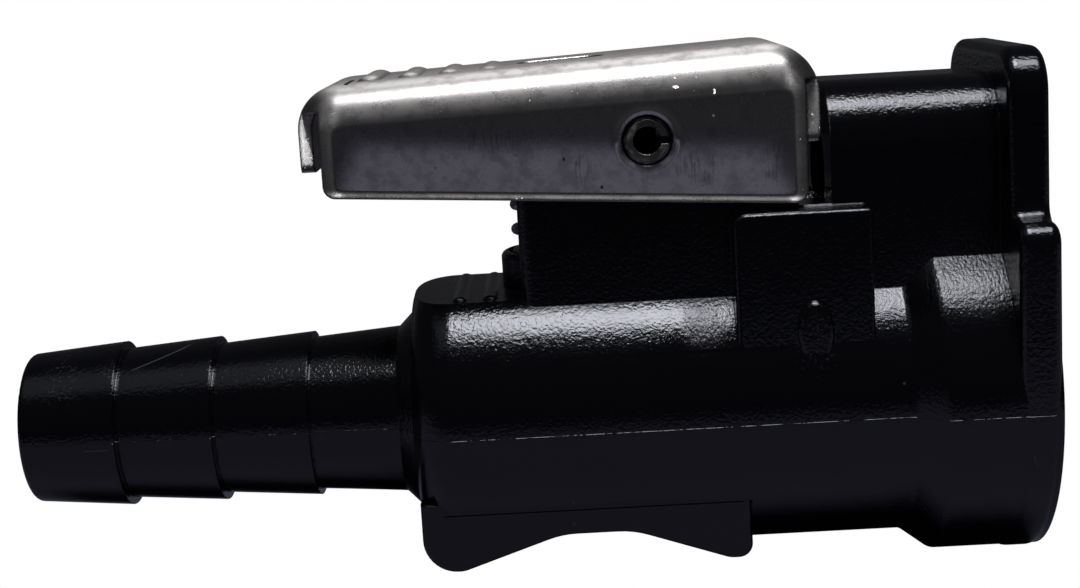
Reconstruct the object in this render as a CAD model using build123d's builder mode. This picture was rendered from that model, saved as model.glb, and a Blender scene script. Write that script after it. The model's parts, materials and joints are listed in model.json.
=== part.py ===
from build123d import *
from math import radians, sqrt, tan
import os

os.makedirs("parts", exist_ok=True)

# A plastic quick-disconnect coupling for a 3/8 inch fuel hose, in millimetres.
# X = 0 is the front face of the flange and +X points out of the two sockets,
# Z = 0 is the axis of the fuel socket and the hose tail, +Z is the lever's side.

# ---------------------------------------------------------------- driving sizes
# moulded body, lengths back from the front face
body_length = 40.9
tube_r = 9.9
shoulder_land = 0.25
shoulder_flat_z = 8.05
collar_r = 11.35
collar_length = 7.0
collar_ramp = 1.9
collar_round = 0.8

# hose tail behind the shoulder
tail_length = 26.4
first_barb = 6.5
barb_pitch = 6.45
barb_count = 3
barb_r = 5.6
barb_root_r = 5.1
tail_tip_r = 5.05
tail_tip_round = 0.4
neck_r = 5.2
neck_end_r = 5.65
neck_flare = 1.1
tail_bore_r = 3.3

# flange round both sockets
flange_thickness = 2.6
flange_margin = 0.1
flange_low_top = 12.0
flange_step = 2.7
flange_top = 22.6
flange_low_corner = 1.4
flange_top_corner = 2.8
flange_step_round = 0.9
flange_edge = 0.7

# two small grip nubs on the thumb flat
nub_x = -36.5
nub_pitch = 1.97
nub_count = 2
nub_r = 0.6
nub_half = 5.0
nub_proud = 0.25
nub_round = 0.3

# tower under the lever and the guide housing in front of it
web_half = 6.3
web_back_x = -33.4
web_gap = 1.0
web_slope_x = -28.0
web_slope_drop = 2.4
web_corner = 1.0
web_top_edge = 0.5
slot_back_x = -15.4
slot_floor = 13.3
housing_back_x = -13.3
housing_top = 20.85
housing_round = 4.0

# side pads that the lever comes to rest on
pad_half = 8.7
pad_back_x = -19.85
pad_front_x = -11.1
pad_top = 13.2
pad_corner = 0.9
pad_edge = 0.3
gate_x = -14.9
gate_z = 5.4
gate_half_x = 1.2
gate_half_z = 2.1
gate_proud = 0.75
gate_round = 0.45
gate_sink = 1.0

# finger saddle under the tube
saddle_half = 8.3
saddle_back_x = -40.7
saddle_front_x = -19.3
saddle_foot = 9.3
saddle_arch = 7.15
saddle_back_tip = 2.6
saddle_front_tip = 1.5
arch_back_x = -31.6
arch_front_x = -27.0
foot_back_round = 2.2
foot_front_round = 0.9
tip_round = 1.6
arch_round = 6.0
saddle_edge = 0.5

# sockets and valve chamber
fuel_socket_r = 7.0
fuel_socket_depth = 8.5
socket_chamfer = 0.5
retainer_r = 6.6
retainer_length = 2.0
retainer_hole_r = 4.3
gland_r = 6.2
seat_length = 2.8
seat_hole_r = 3.2
chamber_r = 5.2
chamber_end_x = -32.0
guide_socket_r = 3.6
guide_socket_z = 14.8
guide_socket_depth = 12.9
guide_tip_r = 3.3
guide_tip_depth = 17.5

# latch lever, stamped from stainless sheet
sheet = 0.9
lever_play = 0.3
lever_back_x = -47.1
lever_front_x = -13.7
lever_top_back = 22.4
lever_rise_deg = 2.3
lever_back_round = 2.9
lever_front_round = 3.4
lever_side_round = 2.5
side_back_x = -45.5
side_front_x = -14.85
side_low_back = 15.52
side_low_front = 13.55
side_corner = 0.8
tab_half = 5.0
tab_back_low = 16.93
tab_front_low = 17.1
relief_back_z = 20.9
relief_front_z = 21.3
tab_corner = 0.6
thumb_rib_count = 4
thumb_rib_x = -42.4
thumb_rib_pitch = 2.58
thumb_rib_r = 1.25
thumb_rib_proud = 0.32
thumb_rib_half = 4.4
thumb_rib_round = 1.0
thumb_rib_fade = 0.05
slot_x = -30.1
slot_length = 5.8
slot_width = 2.4

# pivot and the springs
pivot_x = -24.9
pivot_z = 18.05
pin_r = 1.5
pin_wall = 0.6
pin_gap = 0.5
pin_short = 0.2
pin_chamfer = 0.2
pivot_play = 0.1
pivot_coin = 0.3
spring_x = -30.75
spring_r = 3.25
spring_wire = 0.8
spring_turns = 6.5
pocket_play = 0.25
pocket_floor = 9.0
cup_wall = 0.5
cup_top = 10.5
cup_round = 0.4

# valve and seals
fit = 0.05
oring_section = 2.4
poppet_head_r = 4.4
poppet_head_length = 1.2
poppet_neck_r = 2.8
poppet_nose_length = 3.6
poppet_flute = 1.1
poppet_flute_count = 4
poppet_spigot_r = 2.6
poppet_spigot_length = 2.2
poppet_seal_section = 1.4
valve_spring_r = 3.8
valve_spring_wire = 0.7
valve_spring_turns = 6.0
edge_break = 0.2

# flats round a spring's wire
wire_sides = 8

# ---------------------------------------------------------------- worked-out places
shoulder_x = -body_length
shoulder_round = tube_r - neck_end_r - neck_flare - shoulder_land
flange_low_half = collar_r + flange_margin
flange_top_half = flange_low_half - flange_step
rim_x = shoulder_x - tail_length
retainer_back_x = -fuel_socket_depth - retainer_length
gland_length = oring_section + 2 * fit + seat_length
gland_back_x = retainer_back_x - gland_length
web_top = lever_top_back - sheet - web_gap
lever_half = web_half + lever_play + sheet
lever_slope = tan(radians(lever_rise_deg))
lever_roof = lever_top_back - sheet
lever_roof_at_spring = lever_roof + (spring_x - spring_r - lever_back_x) * lever_slope
seal_x = gland_back_x - fit - poppet_seal_section / 2
head_front_x = seal_x - poppet_seal_section / 2
head_back_x = head_front_x - poppet_head_length
pocket_r = spring_r + pocket_play
cup_r = pocket_r + cup_wall


def lever_top_at(x):
    """Height of the lever's top face above the point x on its length."""
    return lever_top_back + (x - lever_back_x) * lever_slope


def corner_at(sketch, x, y):
    """The corner of a sketch that lies nearest to (x, y) in the sketch's own axes."""
    return sketch.vertices().sort_by_distance((x, y))[0]


# ---------------------------------------------------------------- pieces fused into the body
with BuildPart() as flange:
    with BuildSketch(Plane.YZ.offset(-flange_thickness)) as flange_face:
        Circle(flange_low_half)
        with Locations((0, flange_low_top / 2)):
            Rectangle(2 * flange_low_half, flange_low_top)
        with Locations((0, flange_top / 2)):
            Rectangle(2 * flange_top_half, flange_top)
        for side in (-1, 1):
            fillet(corner_at(flange_face, side * flange_top_half, flange_top), flange_top_corner)
            fillet(corner_at(flange_face, side * flange_low_half, flange_low_top), flange_low_corner)
            fillet(corner_at(flange_face, side * flange_top_half, flange_low_top), flange_step_round)
    extrude(amount=flange_thickness)
    fillet(flange.faces().sort_by(Axis.X)[-1].edges(), flange_edge)
    fillet(flange.faces().sort_by(Axis.X)[0].edges(), flange_edge)

with BuildPart() as web:
    with BuildSketch(Plane.XZ):
        with BuildLine():
            Polyline(
                (web_back_x, 0),
                (web_back_x, web_top - web_slope_drop),
                (web_slope_x, web_top),
                (slot_back_x, web_top),
                (slot_back_x, slot_floor),
                (-flange_thickness, slot_floor),
                (-flange_thickness, 0),
                close=True,
            )
        make_face()
    extrude(amount=web_half, both=True)
    fillet(web.faces().sort_by(Axis.X)[0].edges().filter_by(Axis.Z), web_corner)
    chamfer(web.faces().sort_by(Axis.Z)[-1].edges().filter_by(Axis.X), web_top_edge)

with BuildPart() as housing:
    with BuildSketch(Plane.YZ.offset(-flange_thickness)) as housing_face:
        with Locations((0, housing_top / 2)):
            Rectangle(2 * web_half, housing_top)
        for side in (-1, 1):
            fillet(corner_at(housing_face, side * web_half, housing_top), housing_round)
    extrude(amount=housing_back_x + flange_thickness)

with BuildPart() as pads:
    with BuildSketch(Plane.XZ) as pad_side:
        with Locations(((pad_back_x + pad_front_x) / 2, pad_top / 2)):
            Rectangle(pad_front_x - pad_back_x, pad_top)
        fillet(corner_at(pad_side, pad_back_x, pad_top), pad_corner)
        fillet(corner_at(pad_side, pad_front_x, pad_top), pad_edge)
    extrude(amount=pad_half, both=True)
    for pad_face in (pads.faces().sort_by(Axis.Y)[0], pads.faces().sort_by(Axis.Y)[-1]):
        fillet(pad_face.edges(), pad_edge)

with BuildPart() as saddle:
    with BuildSketch(Plane.XZ) as saddle_side:
        with BuildLine():
            Polyline(
                (saddle_back_x, -saddle_foot / 2),
                (saddle_back_x, -saddle_foot),
                (saddle_back_x + saddle_back_tip, -saddle_foot),
                (arch_back_x, -saddle_arch),
                (arch_front_x, -saddle_arch),
                (saddle_front_x - saddle_front_tip, -saddle_foot),
                (saddle_front_x, -saddle_foot),
                (saddle_front_x, -saddle_foot / 2),
                close=True,
            )
        make_face()
        fillet(corner_at(saddle_side, saddle_back_x, -saddle_foot), foot_back_round)
        fillet(corner_at(saddle_side, saddle_back_x + saddle_back_tip, -saddle_foot), tip_round)
        fillet(corner_at(saddle_side, arch_back_x, -saddle_arch), arch_round)
        fillet(corner_at(saddle_side, arch_front_x, -saddle_arch), arch_round)
        fillet(corner_at(saddle_side, saddle_front_x - saddle_front_tip, -saddle_foot), tip_round)
        fillet(corner_at(saddle_side, saddle_front_x, -saddle_foot), foot_front_round)
    extrude(amount=saddle_half, both=True)
    for flank in (saddle.faces().sort_by(Axis.Y)[0], saddle.faces().sort_by(Axis.Y)[-1]):
        fillet([edge for edge in flank.edges() if edge.center().Z < -saddle_foot / 2 - saddle_edge], saddle_edge)

# the space under the saddle, which also trims the tube between the feet
with BuildPart() as under_saddle:
    with Locations(((saddle_back_x + saddle_front_x) / 2, 0, -saddle_foot)):
        Box(saddle_front_x - saddle_back_x, 2 * saddle_half, saddle_foot)
    add(saddle.part, mode=Mode.SUBTRACT)

# oval mark left by the mould's gate, standing off the side of the tube
with BuildPart() as gate_nub:
    gate_y = -sqrt(tube_r**2 - gate_z**2)
    with BuildSketch(Plane.XZ.offset(-gate_y - gate_sink)):
        with Locations((gate_x, gate_z)):
            Ellipse(gate_half_x, gate_half_z)
    extrude(amount=gate_sink + gate_proud)
    fillet(gate_nub.faces().sort_by(Axis.Y)[0].edges(), gate_round)

# grip nubs on the thumb flat, as rods let into it
with BuildPart() as grip_nubs:
    with BuildSketch(Plane.XZ):
        with GridLocations(nub_pitch, 0, nub_count, 1):
            with Locations((nub_x, shoulder_flat_z + nub_proud - nub_r)):
                Circle(nub_r)
    extrude(amount=nub_half, both=True)
    for nub_end in (Axis.Y, Axis.Y.reverse()):
        fillet(grip_nubs.faces().filter_by(GeomType.PLANE).group_by(nub_end)[0].edges(), nub_round)

# cup round the foot of the lever spring
with BuildPart() as spring_cup:
    with BuildSketch(Plane.XY):
        with Locations((spring_x, 0)):
            Circle(cup_r)
    extrude(amount=cup_top)
    fillet(spring_cup.faces().sort_by(Axis.Z)[-1].edges(), cup_round)

# ---------------------------------------------------------------- body
with BuildPart() as body:
    with BuildSketch(Plane.XZ) as outline:
        with BuildLine():
            points = [(rim_x, 0), (rim_x, tail_tip_r)]
            for barb in range(barb_count):
                crest_x = rim_x + first_barb + barb * barb_pitch
                root_r = neck_r if barb == barb_count - 1 else barb_root_r
                points += [(crest_x, barb_r), (crest_x, root_r)]
            points += [
                (shoulder_x - neck_flare, neck_end_r),
                (shoulder_x, neck_end_r + neck_flare),
                (shoulder_x, tube_r),
                (-collar_length - collar_ramp, tube_r),
                (-collar_length, collar_r),
                (0, collar_r),
                (0, 0),
            ]
            Polyline(*points, close=True)
        make_face()
        fillet(corner_at(outline, rim_x, tail_tip_r), tail_tip_round)
        fillet(corner_at(outline, shoulder_x, tube_r), shoulder_round)
        fillet(corner_at(outline, -collar_length - collar_ramp, tube_r), collar_round)
        fillet(corner_at(outline, -collar_length, collar_r), collar_round)
    revolve(axis=Axis.X)

    # the thumb's clearance flat behind the tower
    with BuildSketch(Plane.XY.offset(shoulder_flat_z)):
        with Locations(((shoulder_x + web_back_x) / 2, 0)):
            Rectangle(web_back_x - shoulder_x, 2 * tube_r)
    extrude(amount=tube_r, mode=Mode.SUBTRACT)

    add(grip_nubs.part)
    add(web.part)
    add(housing.part)
    add(pads.part)
    add(flange.part)
    add(gate_nub.part)
    add(saddle.part)
    add(under_saddle.part, mode=Mode.SUBTRACT)

    add(spring_cup.part)

    # the spring's pocket, which breaks out of the back of the tower
    with BuildSketch(Plane.XY.offset(pocket_floor)):
        with Locations((spring_x, 0)):
            Circle(pocket_r)
    extrude(amount=web_top - pocket_floor, mode=Mode.SUBTRACT)

    # pivot hole across the tower
    with BuildSketch(Plane.XZ):
        with Locations((pivot_x, pivot_z)):
            Circle(pin_r)
    extrude(amount=web_half, both=True, mode=Mode.SUBTRACT)

    # guide pin socket as far as the latch, and its narrower end for the pin's tip
    for guide_r, guide_depth in ((guide_socket_r, guide_socket_depth), (guide_tip_r, guide_tip_depth)):
        with BuildSketch(Plane.YZ):
            with Locations((0, guide_socket_z)):
                Circle(guide_r)
        extrude(amount=-guide_depth, mode=Mode.SUBTRACT)

    # fuel socket, retainer seat, gland, valve chamber and hose bore, one behind the other
    with BuildSketch(Plane.XZ):
        with BuildLine():
            Polyline(
                (0, 0),
                (0, fuel_socket_r + socket_chamfer),
                (-socket_chamfer, fuel_socket_r),
                (-fuel_socket_depth, fuel_socket_r),
                (-fuel_socket_depth, retainer_r),
                (retainer_back_x, retainer_r),
                (retainer_back_x, gland_r),
                (gland_back_x, gland_r),
                (gland_back_x, chamber_r),
                (chamber_end_x, chamber_r),
                (chamber_end_x, tail_bore_r),
                (rim_x, tail_bore_r),
                (rim_x, 0),
                close=True,
            )
        make_face()
    revolve(axis=Axis.X, mode=Mode.SUBTRACT)

# ---------------------------------------------------------------- latch lever
# thumb ribs pressed up out of the top face, round ended and fading towards the pivot
with BuildPart() as thumb_ribs:
    for rib in range(thumb_rib_count):
        rib_x = thumb_rib_x + rib * thumb_rib_pitch
        rib_z = lever_top_at(rib_x) + thumb_rib_proud - rib * thumb_rib_fade - thumb_rib_r
        with BuildSketch(Plane.XZ):
            with Locations((rib_x, rib_z)):
                Circle(thumb_rib_r)
        extrude(amount=thumb_rib_half, both=True)
    fillet(thumb_ribs.edges().filter_by(GeomType.CIRCLE), thumb_rib_round)
    with BuildSketch(Plane.XZ):
        with BuildLine():
            Polyline(
                (lever_back_x, 0),
                (lever_back_x, lever_top_back - sheet / 2),
                (lever_front_x, lever_top_at(lever_front_x) - sheet / 2),
                (lever_front_x, 0),
                close=True,
            )
        make_face()
    extrude(amount=lever_half, both=True, mode=Mode.SUBTRACT)

with BuildPart() as latch_lever:
    top_front = lever_top_at(lever_front_x)
    with BuildSketch(Plane.XZ) as lever_side:
        with BuildLine():
            Polyline(
                (lever_back_x, side_low_front),
                (lever_back_x, lever_top_back),
                (lever_front_x, top_front),
                (lever_front_x, side_low_front),
                close=True,
            )
        make_face()
        fillet(corner_at(lever_side, lever_back_x, lever_top_back), lever_back_round)
        fillet(corner_at(lever_side, lever_front_x, top_front), lever_front_round)
    extrude(amount=lever_half, both=True)
    lever_flanks = latch_lever.faces().sort_by(Axis.Y)
    for flank in (lever_flanks[0], lever_flanks[-1]):
        upper_edges = flank.edges().filter_by(Axis.Z, reverse=True).sort_by(Axis.Z)[1:]
        fillet(upper_edges, lever_side_round)
    offset(amount=-sheet, openings=latch_lever.faces().sort_by(Axis.Z)[0])

    add(thumb_ribs.part)

    # slot in the top face
    with BuildSketch(Plane.XY.offset(lever_roof)):
        with Locations((slot_x, 0)):
            SlotOverall(slot_length, slot_width)
    extrude(amount=lever_side_round, mode=Mode.SUBTRACT)

    # flanks trimmed to their lower edge and set back from the tab at each end
    for trim_plane in (Plane.XZ.offset(tab_half), Plane.XZ.offset(-lever_half)):
        with BuildSketch(trim_plane) as flank_trim:
            with BuildLine():
                Polyline(
                    (side_back_x, side_low_back),
                    (side_front_x, side_low_front),
                    (side_front_x, relief_front_z),
                    (lever_front_x + sheet, relief_front_z),
                    (lever_front_x + sheet, 0),
                    (lever_back_x - sheet, 0),
                    (lever_back_x - sheet, relief_back_z),
                    (side_back_x, relief_back_z),
                    close=True,
                )
            make_face()
            fillet(corner_at(flank_trim, side_back_x, side_low_back), side_corner)
            fillet(corner_at(flank_trim, side_front_x, side_low_front), side_corner)
        extrude(amount=lever_half - tab_half, mode=Mode.SUBTRACT)

    # end tabs cut to length, the front one being the latch that drops behind the guide pin
    with BuildSketch(Plane.XZ):
        with BuildLine():
            Polyline(
                (lever_back_x - sheet, 0),
                (lever_back_x - sheet, tab_back_low),
                (pivot_x, tab_back_low),
                (pivot_x, tab_front_low),
                (lever_front_x + sheet, tab_front_low),
                (lever_front_x + sheet, 0),
                close=True,
            )
        make_face()
    extrude(amount=tab_half, both=True, mode=Mode.SUBTRACT)
    for tab_low in (tab_back_low, tab_front_low):
        tab_ends = latch_lever.edges().filter_by(Axis.X).filter_by_position(Axis.Z, tab_low - fit, tab_low + fit)
        fillet(tab_ends, tab_corner)

    # pivot holes with a coined rim
    with BuildSketch(Plane.XZ):
        with Locations((pivot_x, pivot_z)):
            Circle(pin_r + pivot_play)
    extrude(amount=lever_half, both=True, mode=Mode.SUBTRACT)
    for flank in (latch_lever.faces().sort_by(Axis.Y)[0], latch_lever.faces().sort_by(Axis.Y)[-1]):
        pivot_point = (pivot_x, flank.center().Y, pivot_z)
        pivot_rim = flank.edges().filter_by(GeomType.CIRCLE).sort_by_distance(pivot_point)[0]
        chamfer(pivot_rim, pivot_coin)

# ---------------------------------------------------------------- pivot and lever spring
with BuildPart() as pivot_pin:
    with BuildSketch(Plane.XZ):
        with Locations((pivot_x, pivot_z)):
            Circle(pin_r)
            Circle(pin_r - pin_wall, mode=Mode.SUBTRACT)
    extrude(amount=lever_half - pin_short, both=True)
    for pin_end in (pivot_pin.faces().sort_by(Axis.Y)[0], pivot_pin.faces().sort_by(Axis.Y)[-1]):
        chamfer(pin_end.edges().filter_by(GeomType.CIRCLE).sort_by(SortBy.RADIUS)[-1], pin_chamfer)
    # the slit along the rolled pin
    with BuildSketch(Plane.XZ):
        with Locations((pivot_x + pin_r, pivot_z)):
            Rectangle(pin_r, pin_gap)
    extrude(amount=lever_half, both=True, mode=Mode.SUBTRACT)

with BuildPart() as lever_spring:
    spring_low = pocket_floor + spring_wire / 2 + fit
    spring_high = lever_roof_at_spring - spring_wire / 2 - fit
    with BuildLine() as lever_coil:
        Helix(
            pitch=(spring_high - spring_low) / spring_turns,
            height=spring_high - spring_low,
            radius=spring_r - spring_wire / 2,
            center=(spring_x, 0, spring_low),
        )
    with BuildSketch(Plane(origin=lever_coil.line @ 0, z_dir=lever_coil.line % 0)):
        RegularPolygon(spring_wire / 2, wire_sides)
    sweep(is_frenet=True)

# ---------------------------------------------------------------- valve, held shut by its spring
with BuildPart() as valve_seat:
    with BuildSketch(Plane.YZ.offset(gland_back_x)):
        Circle(gland_r - fit)
        Circle(seat_hole_r, mode=Mode.SUBTRACT)
    extrude(amount=seat_length)
    chamfer(valve_seat.edges().filter_by(GeomType.CIRCLE), edge_break)

with BuildPart() as seal_retainer:
    with BuildSketch(Plane.YZ.offset(retainer_back_x)):
        Circle(retainer_r - fit)
        Circle(retainer_hole_r, mode=Mode.SUBTRACT)
    extrude(amount=retainer_length)
    chamfer(seal_retainer.faces().sort_by(Axis.X)[-1].edges(), edge_break)

with BuildPart() as socket_oring:
    with BuildSketch(Plane.XZ):
        with Locations((retainer_back_x - fit - oring_section / 2, gland_r - fit - oring_section / 2)):
            Circle(oring_section / 2)
    revolve(axis=Axis.X)

with BuildPart() as poppet_seal:
    with BuildSketch(Plane.XZ):
        with Locations((seal_x, poppet_neck_r + poppet_seal_section / 2)):
            Circle(poppet_seal_section / 2)
    revolve(axis=Axis.X)

with BuildPart() as valve_poppet:
    with BuildSketch(Plane.XZ):
        with BuildLine():
            Polyline(
                (gland_back_x, 0),
                (gland_back_x, poppet_neck_r),
                (head_front_x, poppet_neck_r),
                (head_front_x, poppet_head_r),
                (head_back_x, poppet_head_r),
                (head_back_x, poppet_spigot_r),
                (head_back_x - poppet_spigot_length, poppet_spigot_r),
                (head_back_x - poppet_spigot_length, 0),
                close=True,
            )
        make_face()
    revolve(axis=Axis.X)
    chamfer(valve_poppet.faces().sort_by(Axis.X)[0].edges(), edge_break)
    with BuildSketch(Plane.YZ.offset(gland_back_x)):
        Circle(seat_hole_r - fit)
        with PolarLocations(seat_hole_r, poppet_flute_count):
            Rectangle(2 * poppet_flute, 2 * poppet_flute, mode=Mode.SUBTRACT)
    extrude(amount=poppet_nose_length)
    chamfer(valve_poppet.faces().sort_by(Axis.X)[-1].edges().filter_by(GeomType.CIRCLE), edge_break)

with BuildPart() as valve_spring:
    coil_front = head_back_x - valve_spring_wire / 2 - fit
    coil_back = chamber_end_x + valve_spring_wire / 2 + fit
    with BuildLine() as valve_coil:
        Helix(
            pitch=(coil_front - coil_back) / valve_spring_turns,
            height=coil_front - coil_back,
            radius=valve_spring_r,
            center=(coil_back, 0, 0),
            direction=(1, 0, 0),
        )
    with BuildSketch(Plane(origin=valve_coil.line @ 0, z_dir=valve_coil.line % 0)):
        RegularPolygon(valve_spring_wire / 2, wire_sides)
    sweep(is_frenet=True)

# ---------------------------------------------------------------- labels and files
pieces = {
    "body": body,
    "latch_lever": latch_lever,
    "pivot_pin": pivot_pin,
    "lever_spring": lever_spring,
    "valve_seat": valve_seat,
    "seal_retainer": seal_retainer,
    "socket_oring": socket_oring,
    "valve_poppet": valve_poppet,
    "poppet_seal": poppet_seal,
    "valve_spring": valve_spring,
}
for name, piece in pieces.items():
    piece.part.label = name
    export_step(piece.part, f"parts/{name}.step")
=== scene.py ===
import bpy, bmesh, json, math
import numpy as np
from mathutils import Matrix, Vector


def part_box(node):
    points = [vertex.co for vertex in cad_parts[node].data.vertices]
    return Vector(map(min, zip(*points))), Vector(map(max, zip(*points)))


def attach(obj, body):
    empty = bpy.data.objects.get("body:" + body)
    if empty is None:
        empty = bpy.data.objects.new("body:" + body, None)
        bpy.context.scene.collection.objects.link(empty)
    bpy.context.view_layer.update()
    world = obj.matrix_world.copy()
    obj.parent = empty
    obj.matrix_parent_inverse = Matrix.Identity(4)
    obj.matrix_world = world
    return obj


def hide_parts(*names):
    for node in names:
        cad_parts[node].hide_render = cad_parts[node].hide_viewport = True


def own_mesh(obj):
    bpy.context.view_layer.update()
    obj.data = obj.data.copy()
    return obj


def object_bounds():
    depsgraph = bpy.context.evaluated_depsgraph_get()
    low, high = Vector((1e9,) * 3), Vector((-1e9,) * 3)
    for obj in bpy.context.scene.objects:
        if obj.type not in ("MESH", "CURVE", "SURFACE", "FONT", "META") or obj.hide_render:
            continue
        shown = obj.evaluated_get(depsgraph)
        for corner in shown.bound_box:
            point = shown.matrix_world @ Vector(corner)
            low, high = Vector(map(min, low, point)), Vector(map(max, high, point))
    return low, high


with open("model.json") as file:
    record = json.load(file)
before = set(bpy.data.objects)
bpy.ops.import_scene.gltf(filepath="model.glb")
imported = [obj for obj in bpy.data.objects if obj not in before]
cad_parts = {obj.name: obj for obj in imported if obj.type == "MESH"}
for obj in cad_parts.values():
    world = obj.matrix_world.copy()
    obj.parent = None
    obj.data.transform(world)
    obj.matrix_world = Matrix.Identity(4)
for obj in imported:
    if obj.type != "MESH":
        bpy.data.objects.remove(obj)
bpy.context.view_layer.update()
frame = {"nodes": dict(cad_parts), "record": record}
nodes = frame["nodes"]
mm = 0.001
print("frame loaded:", len(nodes), "nodes")


def hexColour(text):
    # sRGB hex to linear RGBA
    parts = [int(text[i:i + 2], 16) / 255 for i in (0, 2, 4)]
    return tuple(c / 12.92 if c <= 0.04045 else ((c + 0.055) / 1.055) ** 2.4 for c in parts) + (1.0,)


def inMetres(valuesMm):
    return [value * mm for value in valuesMm]


def addNode(tree, kind, inputs=(), out=0, **settings):
    # one node: its settings, and its inputs by place or by name, each linked or set; gives one of its outputs
    node = tree.nodes.new("ShaderNode" + kind)
    for key, value in settings.items():
        setattr(node, key, value)
    for key, value in (inputs if isinstance(inputs, dict) else dict(enumerate(inputs))).items():
        if isinstance(value, bpy.types.NodeSocket):
            tree.links.new(value, node.inputs[key])
        else:
            node.inputs[key].default_value = value
    return node.outputs[out] if len(node.outputs) else None


# a MapRange node's inputs are the value, the two ends that it runs between, and what they become
smooth = {"interpolation_type": "SMOOTHSTEP"}
even = (1, 1, 1)


def startMaterial(name, patterns):
    # a new material with the place (x, y, z), the place in side view (x, 0, z), and one noise field for each
    # pattern: the size of its features in mm, its detail, its roughness and how it is stretched
    material = bpy.data.materials.new(name)
    material.use_nodes = True
    tree = material.node_tree
    tree.nodes.clear()
    where = addNode(tree, "TexCoord", out="Object")
    place = tuple(addNode(tree, "SeparateXYZ", [where]).node.outputs)
    side = addNode(tree, "CombineXYZ", {"X": place[0], "Z": place[2]})
    fields = {}
    for key, (sizeMm, detail, rough, stretch) in patterns.items():
        placed = addNode(tree, "Mapping", {"Vector": where, "Scale": stretch})
        settings = {"Vector": placed, "Scale": 1 / (sizeMm * mm), "Detail": detail, "Roughness": rough}
        fields[key] = addNode(tree, "TexNoise", settings)
    return material, tree, place, side, fields


def highest(tree, values):
    # the greatest of several values
    total = values[0]
    for value in values[1:]:
        total = addNode(tree, "Math", [total, value], operation="MAXIMUM")
    return total


def lined(tree, value, placeMm, reach):
    # 1 where the value is within reach[0] mm of a place, falling to 0 at reach[1] mm
    away = addNode(tree, "Math", [value, placeMm * mm], operation="SUBTRACT")
    away = addNode(tree, "Math", [away], operation="ABSOLUTE")
    return addNode(tree, "MapRange", [away, *inMetres(reach), 1.0, 0.0], **smooth)


def spot(tree, side, place, reach, soft=0.3):
    # 1 inside an ellipse at place (x, z) in mm, falling to 0 at its rim
    away = addNode(tree, "VectorMath", [side, (place[0] * mm, 0, place[1] * mm)], operation="SUBTRACT")
    away = addNode(tree, "VectorMath", [away, (reach[0] * mm, 1, reach[1] * mm)], operation="DIVIDE")
    far = addNode(tree, "VectorMath", [away], out="Value", operation="LENGTH")
    return addNode(tree, "MapRange", [far, 1 - soft, 1.0, 1.0, 0.0], **smooth)


scratchLook = {"along": (0.42, 0.5), "across": (0.3, 1.0)}  # shares of its size where it is full, and gone


def stroke(tree, side, start, end, widthMm):
    # 1 along a straight scratch between two places (x, z) in mm
    length = math.dist(start, end)
    ux, uz = (end[0] - start[0]) / length, (end[1] - start[1]) / length
    middle = ((start[0] + end[0]) / 2 * mm, 0, (start[1] + end[1]) / 2 * mm)
    away = addNode(tree, "VectorMath", [side, middle], operation="SUBTRACT")
    inside = []
    for direction, sizeMm, key in (((ux, 0, uz), length, "along"), ((uz, 0, -ux), widthMm, "across")):
        reach = addNode(tree, "VectorMath", [away, direction], out="Value", operation="DOT_PRODUCT")
        reach = addNode(tree, "Math", [reach], operation="ABSOLUTE")
        ends = inMetres(share * sizeMm for share in scratchLook[key])
        inside.append(addNode(tree, "MapRange", [reach, *ends, 1.0, 0.0], **smooth))
    return addNode(tree, "Math", inside, operation="MULTIPLY")


def leaned(tree, normal, amount, axis="Z"):
    # the normal turned towards an axis (or away, when negative) by a tangent
    turn = addNode(tree, "CombineXYZ", {axis: amount})
    total = addNode(tree, "VectorMath", [normal, turn], operation="ADD")
    return addNode(tree, "VectorMath", [total], operation="NORMALIZE")


def roughened(tree, skin, heights):
    # a normal with one bump after another: each is a field and its height in mm
    for field, highMm in heights:
        links = {"Height": field, "Distance": highMm * mm}
        if skin is not None:
            links["Normal"] = skin
        skin = addNode(tree, "Bump", links)
    return skin


def finishWith(tree, **sockets):
    # the shader with its sockets, named with _ for a space
    shader = addNode(tree, "BsdfPrincipled", {key.replace("_", " "): value for key, value in sockets.items()})
    addNode(tree, "OutputMaterial", {"Surface": shader})


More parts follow.
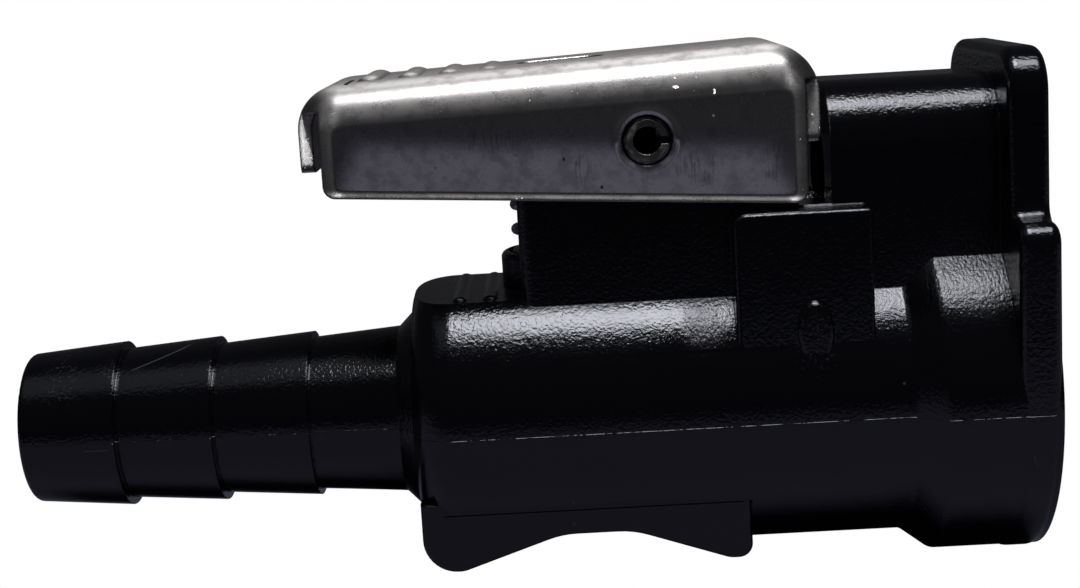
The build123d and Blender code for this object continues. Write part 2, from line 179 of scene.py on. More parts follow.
nearSideMm = (-1.5, -0.5)  # handling marks are on the side that faces the user, past these y
nylonLook = {
    "colour": "07070b", "dusty": "17171c", "scratched": "4a4a52", "ior": 1.6,
    "dustRough": 0.15, "wornRough": 0.12, "rubbedSoft": 0.7, "dulledSoft": 0.6,
    "edgeMm": 0.16, "waveHighMm": 0.01, "pebbleHighMm": 0.029, "lineHighMm": 0.03, "smearHighMm": 0.05,
    # the pebble is drawn coarser than the real one, so that it shows
    "patterns": {
        "wave": (1.6, 2.0, 0.5, even), "pebble": (0.24, 2.0, 0.6, even), "flash": (1.1, 3.0, 0.5, even),
        "speckle": (0.22, 2.0, 0.5, even), "smear": (0.3, 3.0, 0.5, (1.6, 1, 0.5)),
        "patches": (7.0, 3.0, 0.55, even), "dust": (0.45, 4.0, 0.7, even),
    },
    # how a field turns into a mark: the field's two ends, and what they become
    "flashed": (0.42, 0.6, 0.65, 1.0), "speckled": (0.58, 0.66, 0.0, 0.45), "rough": (0.35, 0.65, 0.1, 0.14),
    "dustAreas": (0.45, 0.65, 0.0, 0.8), "dustSpecks": (0.66, 0.74, 0.0, 1.0),
    # raised lines: the height or length where each lies, and its inner and outer half widths
    "seamZ": (-0.1, (0.024, 0.06)), "ringX": (-38.2, (0.02, 0.06)), "ringFromMm": (6.0, 7.0),
    "creaseZ": (-5.5, (0.02, 0.12)), "creaseX": (-29.5, (9.1, 10.1)),
    # places (x, z) in mm on the near side
    "strokes": (((-59.9, 4.2), (-55.3, 5.63), 0.035), ((-63.0, -0.55), (-61.2, -0.5), 0.05),
                ((-22.9, 6.4), (-21.0, 5.5), 0.07), ((-23.2, 5.6), (-21.9, 6.9), 0.06),
                ((-1.9, -2.6), (-1.6, -3.4), 0.05)),
    "dots": ((-30.8, -4.85), (-30.82, -6.33), (-9.6, 2.1)), "dotMm": (0.1, 0.1),
    "rubbed": (((-64.4, 3.9), (1.5, 1.9)), ((-61.0, 4.2), (0.8, 0.9)), ((-14.9, 5.2), (1.9, 3.0))),
    "dulled": (((-21.9, 6.0), (2.0, 2.4)), ((-4.5, 8.8), (6.5, 3.4))),
}


def mouldedNylon(name="mouldedNylon"):
    # black glass-filled nylon, injection moulded: a satin skin with a fine pebble that breaks up highlights
    look = nylonLook
    material, tree, (x, y, z), side, fields = startMaterial(name, look["patterns"])

    # the parting line runs round the tube and tail at the axis height, with flash standing up in places
    flash = addNode(tree, "MapRange", [fields["flash"], *look["flashed"]], **smooth)
    seam = addNode(tree, "Math", [lined(tree, z, *look["seamZ"]), flash], operation="MULTIPLY")
    # where the shoulder's two mould inserts met, a thin ring stands over the thumb flat
    over = addNode(tree, "MapRange", [z, *inMetres(look["ringFromMm"]), 0.0, 1.0], **smooth)
    ring = addNode(tree, "Math", [lined(tree, x, *look["ringX"]), over], operation="MULTIPLY")
    # a faint line where the saddle grows out of the tube
    crease = [lined(tree, z, *look["creaseZ"]), lined(tree, x, *look["creaseX"])]
    crease = addNode(tree, "Math", crease, operation="MULTIPLY")

    near = addNode(tree, "MapRange", [y, *inMetres(nearSideMm), 1.0, 0.0], **smooth)
    speckle = addNode(tree, "MapRange", [fields["speckle"], *look["speckled"]], **smooth)
    marks = [stroke(tree, side, *line) for line in look["strokes"]]
    marks += [spot(tree, side, dot, look["dotMm"]) for dot in look["dots"]]
    for place in look["rubbed"]:
        rub = spot(tree, side, *place, look["rubbedSoft"])
        marks.append(addNode(tree, "Math", [rub, speckle], operation="MULTIPLY"))
    worn = addNode(tree, "Math", [highest(tree, marks), near], operation="MULTIPLY")
    dull = highest(tree, [spot(tree, side, *place, look["dulledSoft"]) for place in look["dulled"]])
    dull = addNode(tree, "Math", [dull, near], operation="MULTIPLY")
    smear = addNode(tree, "Math", [dull, fields["smear"]], operation="MULTIPLY")

    skin = roughened(tree, addNode(tree, "Bevel", [look["edgeMm"] * mm], samples=6), (
        (fields["wave"], look["waveHighMm"]), (fields["pebble"], look["pebbleHighMm"]),
        (highest(tree, [seam, ring, crease]), look["lineHighMm"]), (smear, look["smearHighMm"])))
    dusty = addNode(tree, "MapRange", [fields["patches"], *look["dustAreas"]], **smooth)
    dust = addNode(tree, "MapRange", [fields["dust"], *look["dustSpecks"]], **smooth)
    dust = addNode(tree, "Math", [dust, dusty], operation="MULTIPLY")
    colour = {0: dust, 6: hexColour(look["colour"]), 7: hexColour(look["dusty"])}
    colour = {0: worn, 6: addNode(tree, "Mix", colour, 2, data_type="RGBA"), 7: hexColour(look["scratched"])}
    colour = addNode(tree, "Mix", colour, 2, data_type="RGBA")
    rough = addNode(tree, "MapRange", [fields["patches"], *look["rough"]], **smooth)
    for mask, more in ((dust, look["dustRough"]), (worn, look["wornRough"]), (dull, look["wornRough"])):
        rough = addNode(tree, "Math", [mask, more, rough], operation="MULTIPLY_ADD")
    finishWith(tree, Base_Color=colour, Roughness=rough, Normal=skin, IOR=look["ior"])
    return material


leverBox = [tuple(c / mm for c in corner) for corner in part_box("latch_lever")]
stainlessLook = {
    "colour": "cbc7c0", "stain": "aaa49e", "dirt": "1d1b1a",
    "chipDirt": 0.9, "chipSoft": 0.4, "scuffSoft": 0.7, "glintSoft": 0.4,
    "edgeMm": 0.3, "sagHighMm": 0.015, "rollHighMm": 0.0016, "scuffHighMm": 0.0022,
    "patterns": {
        "sag": (4.0, 2.0, 0.5, even), "roll": (0.06, 2.0, 0.5, (0.05, 1, 1)),
        "scuff": (0.16, 3.0, 0.6, (1, 1, 0.12)), "cloud": (1.1, 6.0, 0.7, even),
        "chip": (0.34, 3.0, 0.6, even), "speck": (0.22, 2.0, 0.5, even), "burr": (0.09, 2.0, 0.5, even),
    },
    # how a field turns into a mark: the field's two ends, and what they become
    "specks": (0.72, 0.78, 0.0, 1.0), "burred": (0.42, 0.58, 0.0, 1.0), "scuffDirt": (0.5, 0.62, 0.0, 0.42),
    "pitted": (0.25, 0.29, 0.9, 0.0), "stained": (0.42, 0.66, 0.0, 0.8), "rough": (0.35, 0.7, 0.25, 0.33),
    # the same for how far a face looks up
    "upright": (0.1, 0.6, 1.0, 0.0), "level": (0.8, 0.95, 0.0, 1.0), "topRough": (0.6, 0.97, 0.0, 0.33),
    # the flanks' ends, and lines as (height at x = 0, rise for each mm of x)
    "ends": (leverBox[0][0] + 1.6, leverBox[1][0] - 1.15),
    "lowEdge": (12.59, -0.0643), "pressLine": (21.2, 0.027),
    "marginMm": 0.8, "marginSoftMm": (-0.12, 0.12), "lipMm": 0.5, "lipFadeMm": (0.25, 0.65),
    "bandMm": 1.0, "bandRise": 0.33, "bandEndMm": (0.9, 1.6), "foldMm": 3.6, "foldSoftMm": (-1.5, 1.5),
    # how far two borders round into one another: margin and bend, margin and lip, band and fold
    "cornerMm": 1.2, "lowCornerMm": 0.6, "foldCornerMm": 1.6,
    "pin": (-24.9, 18.05), "ringMm": (1.75, 2.5), "bevelMm": (1.95, 2.1), "outsideMm": (4.4, 4.8),
    # heights over the pin where the drawn ring fades in and where the shade ends, where a tab starts outside
    # the flank, and the lengths along the lever over which the bow falls to the front tab's share
    "ringUpMm": (-0.6, 1.0), "ringLow": 0.15, "shadeMm": (-0.6, 0.2), "tabMm": (-0.25, 0.0),
    "bowAlongMm": (-30, -20), "frontTab": 0.35,
    # how far each part turns up, as tangents; the crown turns the top outwards
    "marginTurn": 0.25, "lipTurn": 0.3, "endTurn": 0.14, "foldTurn": -0.24, "ringTurn": 0.3, "tabTurn": 0.3,
    "glintTurn": 0.5, "bevelTurn": -0.7, "crownTurn": 0.42,
    # places (x, z) in mm on the near flank
    "scuffs": (((-17.0, 16.2), (1.1, 1.9)), ((-29.1, 16.5), (1.0, 1.6)), ((-22.0, 16.3), (2.2, 1.6)),
               ((-34.5, 18.6), (3.0, 1.2))),
    "chips": (((-43.76, 22.55), (0.22, 0.1)), ((-27.9, 15.3), (0.12, 0.14)), ((-30.2, 17.2), (0.1, 0.16))),
    "glints": (((-23.0, 21.3), (0.26, 0.1)), ((-20.6, 20.9), (0.12, 0.2)), ((-20.7, 19.4), (0.12, 0.12)),
               ((-38.3, 17.1), (0.1, 0.1)), ((-33.2, 17.6), (0.14, 0.1)), ((-36.5, 19.6), (0.08, 0.12))),
}


def above(tree, x, z, line):
    # height over a sloping line
    base = addNode(tree, "Math", [x, line[1], line[0] * mm], operation="MULTIPLY_ADD")
    return addNode(tree, "Math", [z, base], operation="SUBTRACT")


def within(tree, x, z, look):
    # how far a place lies in from the flank's ends, up from its lower edge, and down from the bend
    middle, half = sum(look["ends"]) / 2 * mm, (look["ends"][1] - look["ends"][0]) / 2 * mm
    toEnd = addNode(tree, "Math", [x, middle], operation="SUBTRACT")
    toEnd = addNode(tree, "Math", [toEnd], operation="ABSOLUTE")
    toEnd = addNode(tree, "Math", [half, toEnd], operation="SUBTRACT")
    toPress = addNode(tree, "Math", [above(tree, x, z, look["pressLine"]), -1.0], operation="MULTIPLY")
    return toEnd, above(tree, x, z, look["lowEdge"]), toPress


def pressedTurn(tree, look, x, z, pinUp, fromPin):
    # pressing left each flank with a rounded margin that still looks up, a level band under the bend,
    # and a lean inward from the fold down to a lip that the shears turned out
    toEnd, toEdge, toPress = within(tree, x, z, look)
    inEnd = addNode(tree, "Math", [toEnd, look["marginMm"] * mm], operation="SUBTRACT")
    inEdge = addNode(tree, "Math", [toEdge, look["lipMm"] * mm], operation="SUBTRACT")
    inside = addNode(tree, "Math", [inEnd, toPress, look["cornerMm"] * mm], operation="SMOOTH_MIN")
    inside = addNode(tree, "Math", [inside, inEdge, look["lowCornerMm"] * mm], operation="SMOOTH_MIN")
    margin = addNode(tree, "MapRange", [inside, *inMetres(look["marginSoftMm"]), 1.0, 0.0], **smooth)
    # the level band turns down the flank's ends and dies away towards the lower edge
    band = addNode(tree, "Math", [toEdge, look["bandRise"], look["bandMm"] * mm], operation="MULTIPLY_ADD")
    inBand = addNode(tree, "Math", [toEnd, band], operation="SUBTRACT")
    under = addNode(tree, "Math", [look["foldMm"] * mm, toEdge], operation="SUBTRACT")
    fold = addNode(tree, "Math", [inBand, under, look["foldCornerMm"] * mm], operation="SMOOTH_MIN")
    fold = addNode(tree, "MapRange", [fold, *inMetres(look["foldSoftMm"]), 0.0, 1.0], **smooth)
    unmargined = addNode(tree, "Math", [1.0, margin], operation="SUBTRACT")
    atEnd = addNode(tree, "MapRange", [toEnd, *inMetres(look["bandEndMm"]), 1.0, 0.0], **smooth)
    lip = addNode(tree, "MapRange", [toEdge, *inMetres(look["lipFadeMm"]), 1.0, 0.0], **smooth)
    # the sheet is drawn out round the pin's hole, most of all above it, and the tabs bow, the front one less
    ring = addNode(tree, "MapRange", [fromPin, *inMetres(look["ringMm"]), 1.0, 0.0], **smooth)
    upper = addNode(tree, "MapRange", [pinUp, *inMetres(look["ringUpMm"]), look["ringLow"], 1.0], **smooth)
    tabs = addNode(tree, "MapRange", [toEnd, *inMetres(look["tabMm"]), 1.0, 0.0], **smooth)
    back = addNode(tree, "MapRange", [x, *inMetres(look["bowAlongMm"]), 1.0, look["frontTab"]], **smooth)
    total = addNode(tree, "Math", [lip, look["lipTurn"]], operation="MULTIPLY")
    total = addNode(tree, "Math", [margin, look["marginTurn"], total], operation="MULTIPLY_ADD")
    for first, second, key in ((fold, unmargined, "foldTurn"), (margin, atEnd, "endTurn"),
                               (ring, upper, "ringTurn"), (tabs, back, "tabTurn")):
        both = addNode(tree, "Math", [first, second], operation="MULTIPLY")
        total = addNode(tree, "Math", [both, look[key], total], operation="MULTIPLY_ADD")
    return total


def tumbledStainless(name="tumbledStainless"):
    # stainless sheet, stamped and tumbled: a soft mirror with a faint rolling grain, scuffs and small chips
    look = stainlessLook
    material, tree, (x, y, z), side, fields = startMaterial(name, look["patterns"])
    up = addNode(tree, "SeparateXYZ", [addNode(tree, "NewGeometry", out="Normal")], "Z")
    near = addNode(tree, "MapRange", [y, *inMetres(nearSideMm), 1.0, 0.0], **smooth)
    pin = (look["pin"][0] * mm, 0, look["pin"][1] * mm)
    pinUp = addNode(tree, "Math", [z, pin[2]], operation="SUBTRACT")
    fromPin = addNode(tree, "VectorMath", [side, pin], operation="SUBTRACT")
    fromPin = addNode(tree, "VectorMath", [fromPin], out="Value", operation="LENGTH")

    # only what stands upright on the outside has the flank's turns, with small burrs that catch the light
    lights = [addNode(tree, "MapRange", [fields["speck"], *look["specks"]], **smooth)]
    burr = addNode(tree, "MapRange", [fields["burr"], *look["burred"]], **smooth)
    burr = addNode(tree, "Math", [burr, near], operation="MULTIPLY")
    for place in look["glints"]:
        glint = spot(tree, side, *place, look["glintSoft"])
        lights.append(addNode(tree, "Math", [glint, burr], operation="MULTIPLY"))
    lean = pressedTurn(tree, look, x, z, pinUp, fromPin)
    lean = addNode(tree, "Math", [highest(tree, lights), look["glintTurn"], lean], operation="MULTIPLY_ADD")
    outer = addNode(tree, "Math", [y], operation="ABSOLUTE")
    outer = addNode(tree, "MapRange", [outer, *inMetres(look["outsideMm"]), 0.0, 1.0], **smooth)
    upright = addNode(tree, "MapRange", [up, *look["upright"]], **smooth)
    for mask in (outer, upright):
        lean = addNode(tree, "Math", [lean, mask], operation="MULTIPLY")
    # the coined edge under the pin is in the pin's shade
    under = addNode(tree, "MapRange", [pinUp, *inMetres(look["shadeMm"]), 1.0, 0.0], **smooth)
    bevelled = addNode(tree, "MapRange", [fromPin, *inMetres(look["bevelMm"]), 1.0, 0.0], **smooth)
    bevelled = addNode(tree, "Math", [bevelled, under], operation="MULTIPLY")
    lean = addNode(tree, "Math", [bevelled, look["bevelTurn"], lean], operation="MULTIPLY_ADD")
    skin = leaned(tree, addNode(tree, "Bevel", [look["edgeMm"] * mm], samples=8), lean)
    # the press left the top a little crowned along its near edge
    sides = inMetres(corner[1] for corner in leverBox)
    slope = addNode(tree, "MapRange", [y, *sides, -look["crownTurn"], 0.0], **smooth)
    level = addNode(tree, "MapRange", [up, *look["level"]], **smooth)
    skin = leaned(tree, skin, addNode(tree, "Math", [level, slope], operation="MULTIPLY"), "Y")

    # rolling lines run along the sheet, and rubbing has left upright scuffs in places
    skin = roughened(tree, skin, ((fields["sag"], look["sagHighMm"]), (fields["roll"], look["rollHighMm"]),
                                  (fields["scuff"], look["scuffHighMm"])))
    scuffed = highest(tree, [spot(tree, side, *place, look["scuffSoft"]) for place in look["scuffs"]])
    scuffed = addNode(tree, "Math", [scuffed, near], operation="MULTIPLY")
    broken = addNode(tree, "MapRange", [fields["scuff"], *look["scuffDirt"]], **smooth)
    scuffed = addNode(tree, "Math", [scuffed, broken], operation="MULTIPLY")
    pitted = addNode(tree, "MapRange", [fields["chip"], *look["pitted"]], **smooth)
    chipped = highest(tree, [spot(tree, side, *place, look["chipSoft"]) for place in look["chips"]])
    chipped = addNode(tree, "Math", [chipped, near], operation="MULTIPLY")
    chipped = addNode(tree, "Math", [chipped, look["chipDirt"]], operation="MULTIPLY")
    dirt = highest(tree, [scuffed, pitted, chipped])

    stained = addNode(tree, "MapRange", [fields["cloud"], *look["stained"]], **smooth)
    colour = {0: stained, 6: hexColour(look["colour"]), 7: hexColour(look["stain"])}
    colour = {0: dirt, 6: addNode(tree, "Mix", colour, 2, data_type="RGBA"), 7: hexColour(look["dirt"])}
    colour = addNode(tree, "Mix", colour, 2, data_type="RGBA")
    rough = addNode(tree, "MapRange", [fields["cloud"], *look["rough"]], **smooth)
    # thumbs have dulled the top
    rubbed = addNode(tree, "MapRange", [up, *look["topRough"]], **smooth)
    rough = addNode(tree, "Math", [rough, rubbed], operation="ADD")
    finishWith(tree, Base_Color=colour, Metallic=1.0, Roughness=rough, Normal=skin)
    return material


metalLook = {
    "tarnish": (0.9, 4.0, 0.6, even), "lines": (2.0, 0.5, even), "burr": (1.3, 1.0, 0.5, even),
    "tarnished": (0.4, 0.7, 0.0, 1.0), "cloudy": (0.35, 0.65), "burred": (0.42, 0.62),
    "edgeMm": 0.05, "lineHighMm": 0.003,
}


def plainMetal(name, look):
    # drawn wire, rolled strip or turned bar: fine lines and a little tarnish
    shared = metalLook
    patterns = {key: shared[key] for key in ("tarnish", "burr")}
    patterns["lines"] = (look["lineMm"], *shared["lines"])
    material, tree, place, side, fields = startMaterial(name, patterns)
    skin = addNode(tree, "Bevel", [shared["edgeMm"] * mm], samples=4)
    if "burrTurn" in look:
        # parts of a sawn end turn up
        burr = addNode(tree, "MapRange", [fields["burr"], *shared["burred"], 0.0, look["burrTurn"]], **smooth)
        skin = leaned(tree, skin, burr)
    skin = roughened(tree, skin, [(fields["lines"], shared["lineHighMm"])])
    dulled = addNode(tree, "MapRange", [fields["tarnish"], *shared["tarnished"]], **smooth)
    colour = {0: dulled, 6: hexColour(look["colour"]), 7: hexColour(look["dark"])}
    rough = addNode(tree, "MapRange", [fields["tarnish"], *shared["cloudy"], *look["rough"]], **smooth)
    finishWith(tree, Base_Color=addNode(tree, "Mix", colour, 2, data_type="RGBA"), Metallic=1.0, Normal=skin,
               Roughness=rough)
    return material


mattLook = {
    "bloom": (1.5, 4.0, 0.6, even), "grain": (3.0, 0.5, even),
    "bloomed": (0.4, 0.7, 0.0, 1.0), "cloudy": (0.35, 0.65),
}


def mattSolid(name, look):
    # nitrile rubber, acetal, or the dark plug that paints shade in the pin's bore: matt, with a faint bloom
    patterns = {"bloom": mattLook["bloom"], "grain": (look["grainMm"], *mattLook["grain"])}
    material, tree, place, side, fields = startMaterial(name, patterns)
    bloomed = addNode(tree, "MapRange", [fields["bloom"], *mattLook["bloomed"]], **smooth)
    colour = {0: bloomed, 6: hexColour(look["colour"]), 7: hexColour(look["pale"])}
    rough = addNode(tree, "MapRange", [fields["bloom"], *mattLook["cloudy"], *look["rough"]], **smooth)
    finishWith(tree, Base_Color=addNode(tree, "Mix", colour, 2, data_type="RGBA"), Roughness=rough,
               Normal=roughened(tree, None, [(fields["grain"], look["grainHighMm"])]))
    return material


rolledPin = {"colour": "a8a49e", "dark": "4a4642", "rough": (0.25, 0.42), "lineMm": 0.08, "burrTurn": 0.4}
springWire = {"colour": "c9c6c2", "dark": "807c77", "rough": (0.25, 0.4), "lineMm": 0.05}
turnedBrass = {"colour": "c9a560", "dark": "8a6a35", "rough": (0.2, 0.35), "lineMm": 0.06}
darkAcetal = {
    "colour": "26262a", "pale": "34343a", "rough": (0.4, 0.55), "grainMm": 0.2, "grainHighMm": 0.004,
}
nitrileRubber = {
    "colour": "0f0f10", "pale": "1c1c1d", "rough": (0.5, 0.7), "grainMm": 0.15, "grainHighMm": 0.006,
}
finishes = {
    "moulded_body": mouldedNylon(),
    "stainless_sheet": tumbledStainless(),
    "spring_pin_steel": plainMetal("rolledPinSteel", rolledPin),
    "spring_wire": plainMetal("drawnSpringWire", springWire),
    "poppet_brass": plainMetal("turnedBrass", turnedBrass),
    "valve_plastic": mattSolid("darkAcetal", darkAcetal),
    "seal_rubber": mattSolid("nitrileRubber", nitrileRubber),
}
print("finishes made:", len(finishes))


def bodyOf(node):
    return next(body for body, members in frame["record"]["behaviour"]["bodies"].items() if node in members)


def slotOf(node):
    return next(part["material_slot"] for part in frame["record"]["subparts"] if part["node"] == node)


def addPiece(name, mesh, body):
    mesh.polygons.foreach_set("use_smooth", np.ones(len(mesh.polygons), bool))
    piece = bpy.data.objects.new(name, mesh)
    bpy.context.scene.collection.objects.link(piece)
    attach(piece, body)
    return piece


dressLook = {
    "mergeMm": 0.0005, "flatMm": 1.35, "sliverMm": 0.004,
    "sharpDeg": 32, "levelDeg": 0.3, "leastAngle": 0.01,
}


def flatPatches(work, look):
    # for each triangle, the normal of the level patch it lies in, taken from the largest triangle there, and
    # whether the patch is wide enough to count as a flat face
    level = math.cos(math.radians(look["levelDeg"]))
    patch, patches = {}, []
    for seed in sorted(work.faces, key=lambda f: -f.calc_area()):
        if seed.index in patch:
            continue
        members, waiting = [], [seed]
        patch[seed.index] = len(patches)
        while waiting:
            face = waiting.pop()
            members.append(face)
            for other in (f for edge in face.edges for f in edge.link_faces):
                if other.index not in patch and other.normal.dot(seed.normal) > level:
                    patch[other.index] = len(patches)
                    waiting.append(other)
        corners = np.array([v.co for f in members for v in f.verts])
        span = np.linalg.norm(corners.max(0) - corners.min(0))
        wide = sum(f.calc_area() for f in members) / span > look["flatMm"] * mm
        patches.append((seed.normal.copy(), wide))
    return {index: patches[number] for index, number in patch.items()}


def fansRound(vert, limit, thin):
    # the faces at a corner, sorted into fans that run on smoothly; a sliver joins whatever it touches
    left = set(vert.link_faces)
    while left:
        fan, waiting = [], [left.pop()]
        while waiting:
            face = waiting.pop()
            fan.append(face)
            for other in (f for edge in face.edges if vert in edge.verts for f in edge.link_faces):
                slivers = face.index in thin or other.index in thin
                if other in left and (slivers or face.normal.dot(other.normal) > limit):
                    left.discard(other)
                    waiting.append(other)
        yield fan


def cornerNormals(work, look):
    # a flat face keeps its own normal right up to its edge, a fillet starts from the flat it runs into, and
    # any other corner takes the mean of its smooth neighbours, weighted by their area and their angle there
    patches = flatPatches(work, look)
    limit = math.cos(math.radians(look["sharpDeg"]))
    least = look["sliverMm"] * mm
    thin = {f.index for f in work.faces
            if f.calc_area() < 0.5 * least * max(e.calc_length() for e in f.edges)}
    found = {}
    for vert in work.verts:
        for fan in fansRound(vert, limit, thin):
            flats = [patches[f.index][0] for f in fan if patches[f.index][1]]
            mean = Vector()
            for face in fan:
                corner = next(loop for loop in face.loops if loop.vert == vert)
                mean += face.normal * face.calc_area() * max(corner.calc_angle(), look["leastAngle"])
            mean = mean.normalized()
            for face in fan:
                own, wide = patches[face.index]
                if wide:
                    found[face.index, vert.index] = own
                elif flats:
                    aim = mean if face.index in thin else face.normal
                    found[face.index, vert.index] = max(flats, key=lambda n: n.dot(aim))
                else:
                    found[face.index, vert.index] = mean
    return [tuple(found[face.index, loop.vert.index]) for face in work.faces for loop in face.loops]


def dress(node, name):
    # a copy of the node with its loose triangles merged and its curved faces shaded smooth
    mesh = nodes[node].data.copy()
    mesh.name = name
    work = bmesh.new()
    work.from_mesh(mesh)
    bmesh.ops.remove_doubles(work, verts=work.verts, dist=dressLook["mergeMm"] * mm)
    bmesh.ops.triangulate(work, faces=work.faces)
    work.normal_update()
    work.verts.index_update()
    work.faces.index_update()
    normals = cornerNormals(work, dressLook)
    work.to_mesh(mesh)
    work.free()
    mesh.materials.clear()
    mesh.materials.append(finishes[slotOf(node)])
    piece = addPiece(name, mesh, bodyOf(node))
    mesh.set_sharp_from_angle(angle=math.radians(dressLook["sharpDeg"]))
    mesh.normals_split_custom_set(normals)
    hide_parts(node)
    slotOf(node)
    return piece


carried = {
    "body": "moulded_body_shell", "latch_lever": "stamped_lever", "pivot_pin": "rolled_pin",
    "valve_seat": "seat_ring", "seal_retainer": "retainer_ring", "socket_oring": "socket_seal",
    "valve_poppet": "poppet", "poppet_seal": "poppet_ring",
}
for node, name in carried.items():
    dress(node, name)
print("dressed", len(carried), "nodes")


def gridPiece(name, points, body, material, sharpDeg=50):
    # a closed tube: points[i, j] is ring i, place j round it; the end rings are capped
    rings, around = points.shape[:2]
    i, j = np.meshgrid(np.arange(rings - 1), np.arange(around), indexing="ij")
    after = (j + 1) % around
    near, far = i * around, (i + 1) * around
    quads = np.stack([near + j, near + after, far + after, far + j], -1)
    faces = quads.reshape(-1, 4).tolist()
    faces += [list(range(around))[::-1], [(rings - 1) * around + k for k in range(around)]]
    mesh = bpy.data.meshes.new(name)
    mesh.from_pydata(points.reshape(-1, 3).tolist(), [], faces)
    mesh.validate()
    work = bmesh.new()
    work.from_mesh(mesh)
    bmesh.ops.recalc_face_normals(work, faces=work.faces)
    work.to_mesh(mesh)
    work.free()
    mesh.materials.append(material)
    piece = addPiece(name, mesh, body)
    mesh.set_sharp_from_angle(angle=math.radians(sharpDeg))
    return piece


coilLook = {"steps": 40, "around": 14, "blend": 12, "nest": 1.02}
leverSpring = {"wireMm": 0.8, "turns": 8.2, "closed": 0.9, "startDeg": 200, "keep": 0.84}
valveSpring = {"wireMm": 0.7, "turns": 7.5, "closed": 0.9, "startDeg": 30, "keep": 0.74}


def coil(name, node, along, spring):
    # a compression spring in its node's box: the height along the axis rises by one wire over each closed
    # end turn and evenly over the working turns between, blended so that the wire has no kink
    wire, turns, closed = spring["wireMm"] * mm, spring["turns"], spring["closed"]
    low, high = np.array(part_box(node)[0]), np.array(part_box(node)[1])
    first, second = (a for a in range(3) if a != along)
    centre = (low + high) / 2
    radius = (high[first] - low[first]) / 2 - wire / 2
    t = np.linspace(0, turns, int(turns * coilLook["steps"]) + 1)
    pitchAt = 1 / (1 + np.exp(-(np.minimum(t, turns - t) - closed) * coilLook["blend"]))
    risen = np.concatenate([[0], np.cumsum((pitchAt[1:] + pitchAt[:-1]) / 2 * np.diff(t))])
    ends = wire * coilLook["nest"] * (np.minimum(t, closed) + np.maximum(t - turns + closed, 0))
    angle = 2 * np.pi * t + math.radians(spring["startDeg"])
    path = np.zeros((len(t), 3))
    path[:, first] = centre[first] + radius * np.cos(angle)
    path[:, second] = centre[second] + radius * np.sin(angle)
    working = high[along] - low[along] - wire - ends[-1]
    path[:, along] = low[along] + wire / 2 + ends + risen / risen[-1] * working

    # a ring of points round the wire at each step: P + r (cos a * outward + sin a * side)
    tangent = np.gradient(path, axis=0)
    tangent /= np.linalg.norm(tangent, axis=1)[:, None]
    outward = path - centre
    outward[:, along] = 0
    side = np.cross(tangent, outward)
    side /= np.linalg.norm(side, axis=1)[:, None]
    outward = np.cross(side, tangent)
    turn = np.linspace(0, 2 * np.pi, coilLook["around"], endpoint=False)
    ring = np.cos(turn)[None, :, None] * outward[:, None] + np.sin(turn)[None, :, None] * side[:, None]
    piece = gridPiece(name, path[:, None] + ring * wire / 2, bodyOf(node), finishes[slotOf(node)])
    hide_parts(node)
    return piece


# the dark plug in the pin's bore is painted shade, standing in for the shadow inside the hollow pin
boreShadeLook = {
    "radiusMm": 0.92, "highMm": 0.3, "thickMm": 1.2, "rings": 10, "around": 36, "tip": 0.02,
    "colour": "1c1a18", "pale": "2a2724", "rough": (0.35, 0.55), "grainMm": 0.25, "grainHighMm": 0.05,
}


def boreShadePlug(name, node):
    # painted shade: a dark plug in the rolled pin's bore, so that the hollow bore reads dark; a plug with a
    # low dome on each end, whose height at radius r is (1 - (r / R)^2) * h
    look = boreShadeLook
    centre = sum(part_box(node), Vector()) / 2
    share = np.linspace(1, look["tip"], look["rings"])
    share = np.concatenate([share[::-1], share])[:, None]
    end = np.repeat([-1, 1], look["rings"])[:, None]
    turn = np.linspace(0, 2 * np.pi, look["around"], endpoint=False)
    radius = look["radiusMm"] * mm * share
    deep = end * (look["thickMm"] / 2 + look["highMm"] * (1 - share ** 2)) * mm
    x, y, z = centre.x + radius * np.cos(turn), centre.y + deep + 0 * turn, centre.z + radius * np.sin(turn)
    return gridPiece(name, np.stack([x, y, z], -1), bodyOf(node), mattSolid("paintedBoreShade", look))


piece = coil("lever_return_spring", "lever_spring", 2, leverSpring)
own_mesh(piece)
piece = coil("valve_return_spring", "valve_spring", 0, valveSpring)
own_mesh(piece)
boreShadePlug("pin_bore_shade_plug", "pivot_pin")
print("springs and bore shade plug made")


# the part stands on a plain stage that the camera sees as white; its sizes and places are in metres
stageLook = {
    "near": "7a7a89", "far": "24242a", "fadeFrom": -0.055, "fadeTo": -0.1, "behindFrom": 0.03, "behindTo": 0.07,
    "behindPale": 0.2,
    "left": -0.45, "right": 0.4, "front": -0.5, "back": 0.5, "stripHigh": 0.062, "wallHigh": 0.6,
    "wall": "f4f6ff", "stripStrength": 0.06, "wallStrength": 0.03, "world": "b8bccc", "worldStrength": 0.04,
    "gapMm": 0.02,
}


def whiteToCamera(tree, dim, kind):
    # the dim shader lights the part, and a plain white one of the given kind is what the camera sees
    seen = addNode(tree, "LightPath", out="Is Camera Ray")
    return addNode(tree, "MixShader", [seen, dim, addNode(tree, kind, [(1, 1, 1, 1), 1.0])])


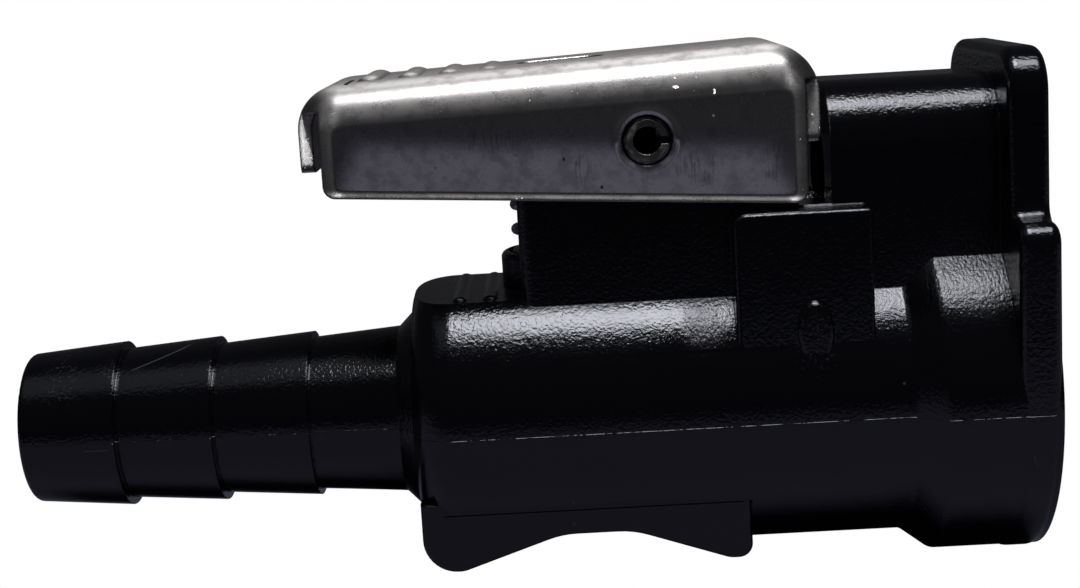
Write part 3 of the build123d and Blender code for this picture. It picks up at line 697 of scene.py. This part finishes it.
def stagePlane(name, corners, strength=None):
    # with a strength a card that glows a little; without one the table top, pale close to the part and darker
    # further in front of it and behind it
    look = stageLook
    mesh = bpy.data.meshes.new(name)
    mesh.from_pydata(corners, [], [(0, 1, 2, 3)])
    piece = bpy.data.objects.new(name, mesh)
    bpy.context.scene.collection.objects.link(piece)
    material, tree, (x, y, z), side, fields = startMaterial(name, {})
    if strength:
        dim = addNode(tree, "Emission", [hexColour(look["wall"]), strength])
    else:
        front = addNode(tree, "MapRange", [y, look["fadeTo"], look["fadeFrom"], 0.0, 1.0], **smooth)
        back = addNode(tree, "MapRange", [y, look["behindFrom"], look["behindTo"], 1.0, look["behindPale"]], **smooth)
        pale = addNode(tree, "Math", [front, back], operation="MULTIPLY")
        colour = {0: pale, 6: hexColour(look["far"]), 7: hexColour(look["near"])}
        dim = addNode(tree, "BsdfDiffuse", [addNode(tree, "Mix", colour, 2, data_type="RGBA")])
    addNode(tree, "OutputMaterial", {"Surface": whiteToCamera(tree, dim, "Emission")})
    mesh.materials.append(material)


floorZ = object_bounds()[0].z - stageLook["gapMm"] * mm
stripZ, wallZ = stageLook["stripHigh"], stageLook["wallHigh"]
x0, x1, y0, y1 = (stageLook[k] for k in ("left", "right", "front", "back"))
stagePlane("pale_floor", [(x0, y0, floorZ), (x1, y0, floorZ), (x1, y1, floorZ), (x0, y1, floorZ)])
for name, low, high, strength in (("low_strip", floorZ, stripZ, stageLook["stripStrength"]),
                                  ("rear_wall", stripZ, wallZ, stageLook["wallStrength"])):
    stagePlane(name, [(x0, y1, low), (x1, y1, low), (x1, y1, high), (x0, y1, high)], strength)

world = bpy.data.worlds.new("studio")
bpy.context.scene.world = world
world.use_nodes = True
world.node_tree.nodes.clear()
sky = addNode(world.node_tree, "Background", [hexColour(stageLook["world"]), stageLook["worldStrength"]])
addNode(world.node_tree, "OutputWorld", {"Surface": whiteToCamera(world.node_tree, sky, "Background")})

# two soft boxes side by side over the part, the one over the sockets dimmer, and a faint one over the tail
boxHigh = 0.36  # metres
lamps = {
    # each with its middle (x, y) and its sizes along x and y in metres, its power in watts and its colour
    "overhead_tail_side": ((-0.0225, -0.086), (0.125, 0.15), 0.68, "f4f6ff"),
    "overhead_socket_side": ((0.1025, -0.086), (0.125, 0.15), 0.36, "f4f6ff"),
    "tail_fill": ((-0.2, -0.08), (0.25, 0.24), 0.035, "eef2ff"),
}
for name, (place, size, power, colour) in lamps.items():
    lamp = bpy.data.lights.new(name, "AREA")
    lamp.shape, lamp.energy = "RECTANGLE", power
    lamp.size, lamp.size_y = size
    lamp.color = hexColour(colour)[:3]
    rig = bpy.data.objects.new(name, lamp)
    bpy.context.scene.collection.objects.link(rig)
    rig.location = (*place, boxHigh)

cameraLook = {
    "targetMm": (-32.309, 0.0, 7.372), "distanceMm": 123.993, "lens": 60.975, "sensor": 36.0,
    "pitchDeg": 10.02, "yawDeg": -1.0, "rollDeg": -3.33, "clip": (0.005, 50),
}


def placeCamera(look):
    pitch, yaw, roll = (math.radians(look[k]) for k in ("pitchDeg", "yawDeg", "rollDeg"))
    flat = math.cos(pitch)
    ahead = Vector((math.sin(yaw) * flat, math.cos(yaw) * flat, -math.sin(pitch)))
    level = Vector((math.cos(yaw), -math.sin(yaw), 0))
    upward = level.cross(ahead)
    across = level * math.cos(roll) + upward * math.sin(roll)
    top = upward * math.cos(roll) - level * math.sin(roll)
    camera = bpy.data.cameras.new("camera")
    camera.lens, camera.sensor_width = look["lens"], look["sensor"]
    camera.clip_start, camera.clip_end = look["clip"]
    rig = bpy.data.objects.new("camera", camera)
    bpy.context.scene.collection.objects.link(rig)
    turn = Matrix((across, top, -ahead)).transposed().to_4x4()
    place = (Vector(look["targetMm"]) - ahead * look["distanceMm"]) * mm
    rig.matrix_world = Matrix.Translation(place) @ turn
    bpy.context.scene.camera = rig


placeCamera(cameraLook)
bpy.context.scene.view_settings.view_transform = "Standard"
print("stage, lamps and camera placed")
